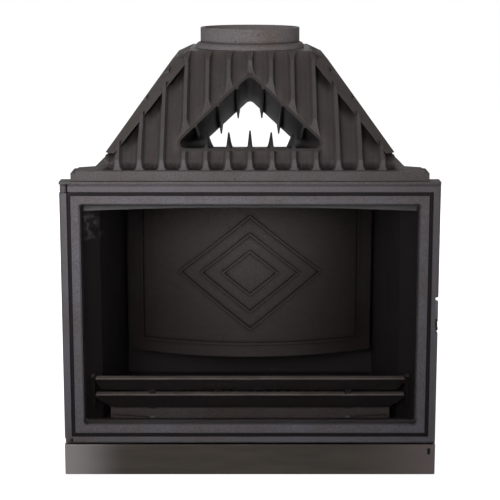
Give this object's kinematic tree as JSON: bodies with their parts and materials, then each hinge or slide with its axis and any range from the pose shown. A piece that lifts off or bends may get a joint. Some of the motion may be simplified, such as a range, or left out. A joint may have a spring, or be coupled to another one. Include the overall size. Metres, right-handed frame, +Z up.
{
  "type": "fireplace insert",
  "caption": "Cast-iron fireplace insert with a wide glazed door, ribbed smoke hood with a triangular air tunnel, round flue collar, log bars, air control and ash drawer.",
  "frame": {"origin": "middle of the plan, on the floor the base stands on", "axes": "+Z up, +X to the viewer's right, -Y out of the glazed door towards the room"},
  "size_m": [0.7, 0.446, 0.83],
  "materials": {
    "iron": "graphite grey heat paint, fine matt grain",
    "iron_fire": "dark, matt, as cast",
    "sheet_painted": "dark grey heat paint, matt",
    "steel": "satin, brushed along its length",
    "steel_dark": "plain dark sheet, matt",
    "fastener": "dark zinc, satin",
    "glass": "clear ceramic glass, polished",
    "rope": "woven glass fibre rope, dark grey"
  },
  "bodies": {
    "body": {"airwash_deflector": "steel_dark", "ash_fence": "iron_fire", "back_liner": "iron_fire", "back_wall": "iron", "back_wall_bolts": "fastener", "bar_end_plates": "iron_fire", "bar_supports": "iron_fire", "base_rear": "sheet_painted", "base_side_left": "sheet_painted", "base_side_right": "sheet_painted", "deflector_screws": "fastener", "drawer_runner_left": "steel_dark", "drawer_runner_right": "steel_dark", "fence_bolts": "fastener", "fire_grate": "iron_fire", "flue_collar": "iron", "front_frame": "iron", "front_frame_screws": "fastener", "hearth_plate": "iron", "hinge_pins": "steel", "hood": "iron", "hood_bolts": "fastener", "keeper_pin": "steel", "liner_studs": "steel_dark", "log_bar_lower": "iron_fire", "log_bar_upper": "iron_fire", "shutter_studs": "fastener", "side_wall_left": "iron", "side_wall_right": "iron", "smoke_baffle": "iron_fire", "top_plate": "iron", "tunnel_floor": "iron", "tunnel_roof_left": "iron", "tunnel_roof_right": "iron"},
    "door": {"door_frame": "iron", "door_glass": "glass", "door_seal": "rope", "glass_tape": "rope", "glass_retainers": "steel_dark", "retainer_screws": "fastener", "latch_pivot": "steel"},
    "latch": {"latch_lever": "steel"},
    "ash_box": {"drawer_front": "steel", "ash_drawer": "steel_dark"},
    "air_control": {"air_rod": "steel", "air_shutter": "steel_dark"}
  },
  "joints": [
    {"name": "door_hinge", "type": "hinge", "parent": "body", "child": "door", "pos_m": [-0.343, -0.211, 0.31], "axis": [0, 0, -1], "range_deg": [0, 110]},
    {"name": "latch_turn", "type": "hinge", "parent": "door", "child": "latch", "pos_m": [0.347, -0.211, 0.31], "axis": [-1, 0, 0], "range_deg": [0, 40]},
    {"name": "ash_slide", "type": "slide", "parent": "body", "child": "ash_box", "axis": [0, -1, 0], "range_m": [0, 0.3]},
    {"name": "air_slide", "type": "slide", "parent": "body", "child": "air_control", "axis": [0, -1, 0], "range_m": [0, 0.013]}
  ]
}
